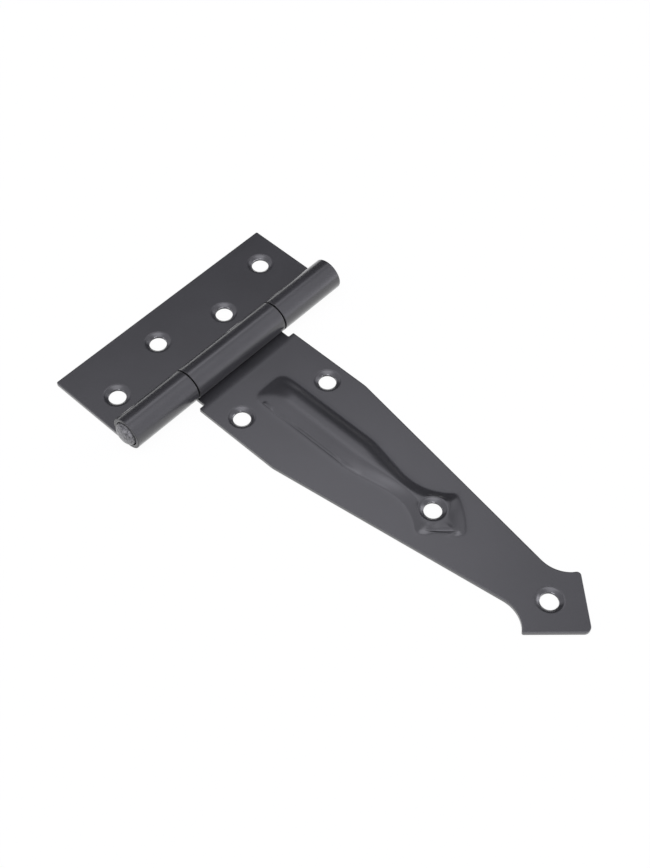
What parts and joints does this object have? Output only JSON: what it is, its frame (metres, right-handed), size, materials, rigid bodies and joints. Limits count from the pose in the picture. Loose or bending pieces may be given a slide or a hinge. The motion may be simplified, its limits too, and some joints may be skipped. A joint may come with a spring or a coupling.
{
  "type": "tee hinge",
  "caption": "Ornamental tee hinge in black coated steel sheet: a rectangular leaf, a long arrow-ended strap with a pressed rib, and a rolled barrel round a pin.",
  "frame": {"origin": "on the back plane that lies on the door and its frame, straight under the pin axis, at the middle of the barrel's length", "axes": "+X runs from the barrel to the strap's tip, +Y runs along the barrel, +Z comes out of the front, away from the door"},
  "size_m": [0.1756, 0.0936, 0.011],
  "materials": {
    "leaf_coat": "smooth satin black coat on pressed steel sheet",
    "strap_coat": "smooth satin black coat on pressed steel sheet",
    "pin_coat": "thin black coat on a steel rod"
  },
  "bodies": {
    "jamb": {"jamb_leaf": "leaf_coat", "hinge_pin": "pin_coat"},
    "strap": {"strap_leaf": "strap_coat"}
  },
  "joints": [
    {"name": "strap_swing", "type": "hinge", "parent": "jamb", "child": "strap", "pos_m": [0, 0, 0.0055], "axis": [0, -1, 0], "range_deg": [-100, 190]}
  ]
}
